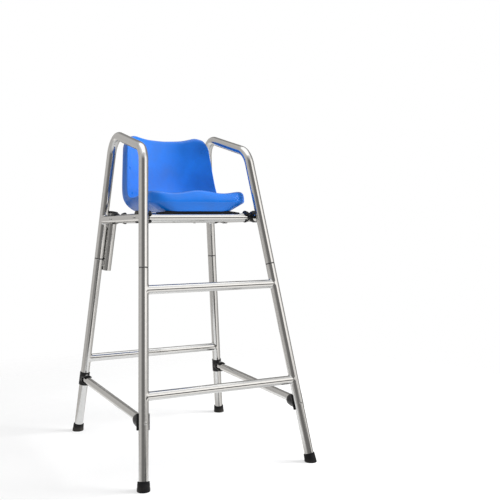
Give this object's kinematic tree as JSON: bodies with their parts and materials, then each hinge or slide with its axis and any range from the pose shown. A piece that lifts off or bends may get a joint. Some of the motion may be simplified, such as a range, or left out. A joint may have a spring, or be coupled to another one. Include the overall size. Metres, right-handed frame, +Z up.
{
  "type": "lifeguard chair",
  "caption": "Tall poolside lifeguard chair: polished tube frame with rungs and armrest hoops, moulded blue bucket seat, umbrella pole tube and rubber feet.",
  "frame": {"origin": "on the floor, in the middle of the four feet", "axes": "+Z up, the chair faces -Y, +X is to the right as seen from its front"},
  "size_m": [0.8476, 1.0354, 1.4877],
  "materials": {
    "polished_steel": "polished stainless",
    "joint_steel": "dark ring",
    "black_plastic": "moulded black",
    "black_rubber": "matt black",
    "blue_plastic": "glossy blue",
    "bolt_steel": "bright"
  },
  "bodies": {
    "root": {"bar_connector_front_left": "black_plastic", "bar_connector_front_right": "black_plastic", "bar_connector_rear_left": "black_plastic", "bar_connector_rear_right": "black_plastic", "bar_plug_front_left": "black_plastic", "bar_plug_front_right": "black_plastic", "bar_plug_rear_left": "black_plastic", "bar_plug_rear_right": "black_plastic", "brace_left": "polished_steel", "brace_plug_left": "black_plastic", "brace_plug_right": "black_plastic", "brace_right": "polished_steel", "bracket_bolt_left": "bolt_steel", "bracket_bolt_right": "bolt_steel", "collar_bolt_left": "bolt_steel", "collar_bolt_right": "bolt_steel", "connector_bolt_front_left": "bolt_steel", "connector_bolt_front_right": "bolt_steel", "connector_bolt_rear_left": "bolt_steel", "connector_bolt_rear_right": "bolt_steel", "foot_front_left": "black_rubber", "foot_front_right": "black_rubber", "foot_rear_left": "black_rubber", "foot_rear_right": "black_rubber", "front_bracket_left": "black_plastic", "front_bracket_right": "black_plastic", "front_leg_left": "polished_steel", "front_leg_right": "polished_steel", "front_rung_lower": "polished_steel", "front_rung_upper": "polished_steel", "hoop_left": "polished_steel", "hoop_right": "polished_steel", "leg_joint_front_left": "joint_steel", "leg_joint_front_right": "joint_steel", "leg_joint_rear_left": "joint_steel", "leg_joint_rear_right": "joint_steel", "pole_tube": "polished_steel", "pole_tube_bush": "black_plastic", "rear_collar_left": "black_plastic", "rear_collar_right": "black_plastic", "rear_leg_left": "polished_steel", "rear_leg_right": "polished_steel", "rear_rung": "polished_steel", "seat": "blue_plastic", "seat_bar_front": "polished_steel", "seat_bar_rear": "polished_steel", "seat_bolt_front_left": "bolt_steel", "seat_bolt_front_right": "bolt_steel", "seat_bolt_rear_left": "bolt_steel", "seat_bolt_rear_right": "bolt_steel", "seat_pad_front": "black_rubber", "seat_pad_rear": "black_rubber", "side_rail_left": "polished_steel", "side_rail_right": "polished_steel"}
  },
  "joints": []
}
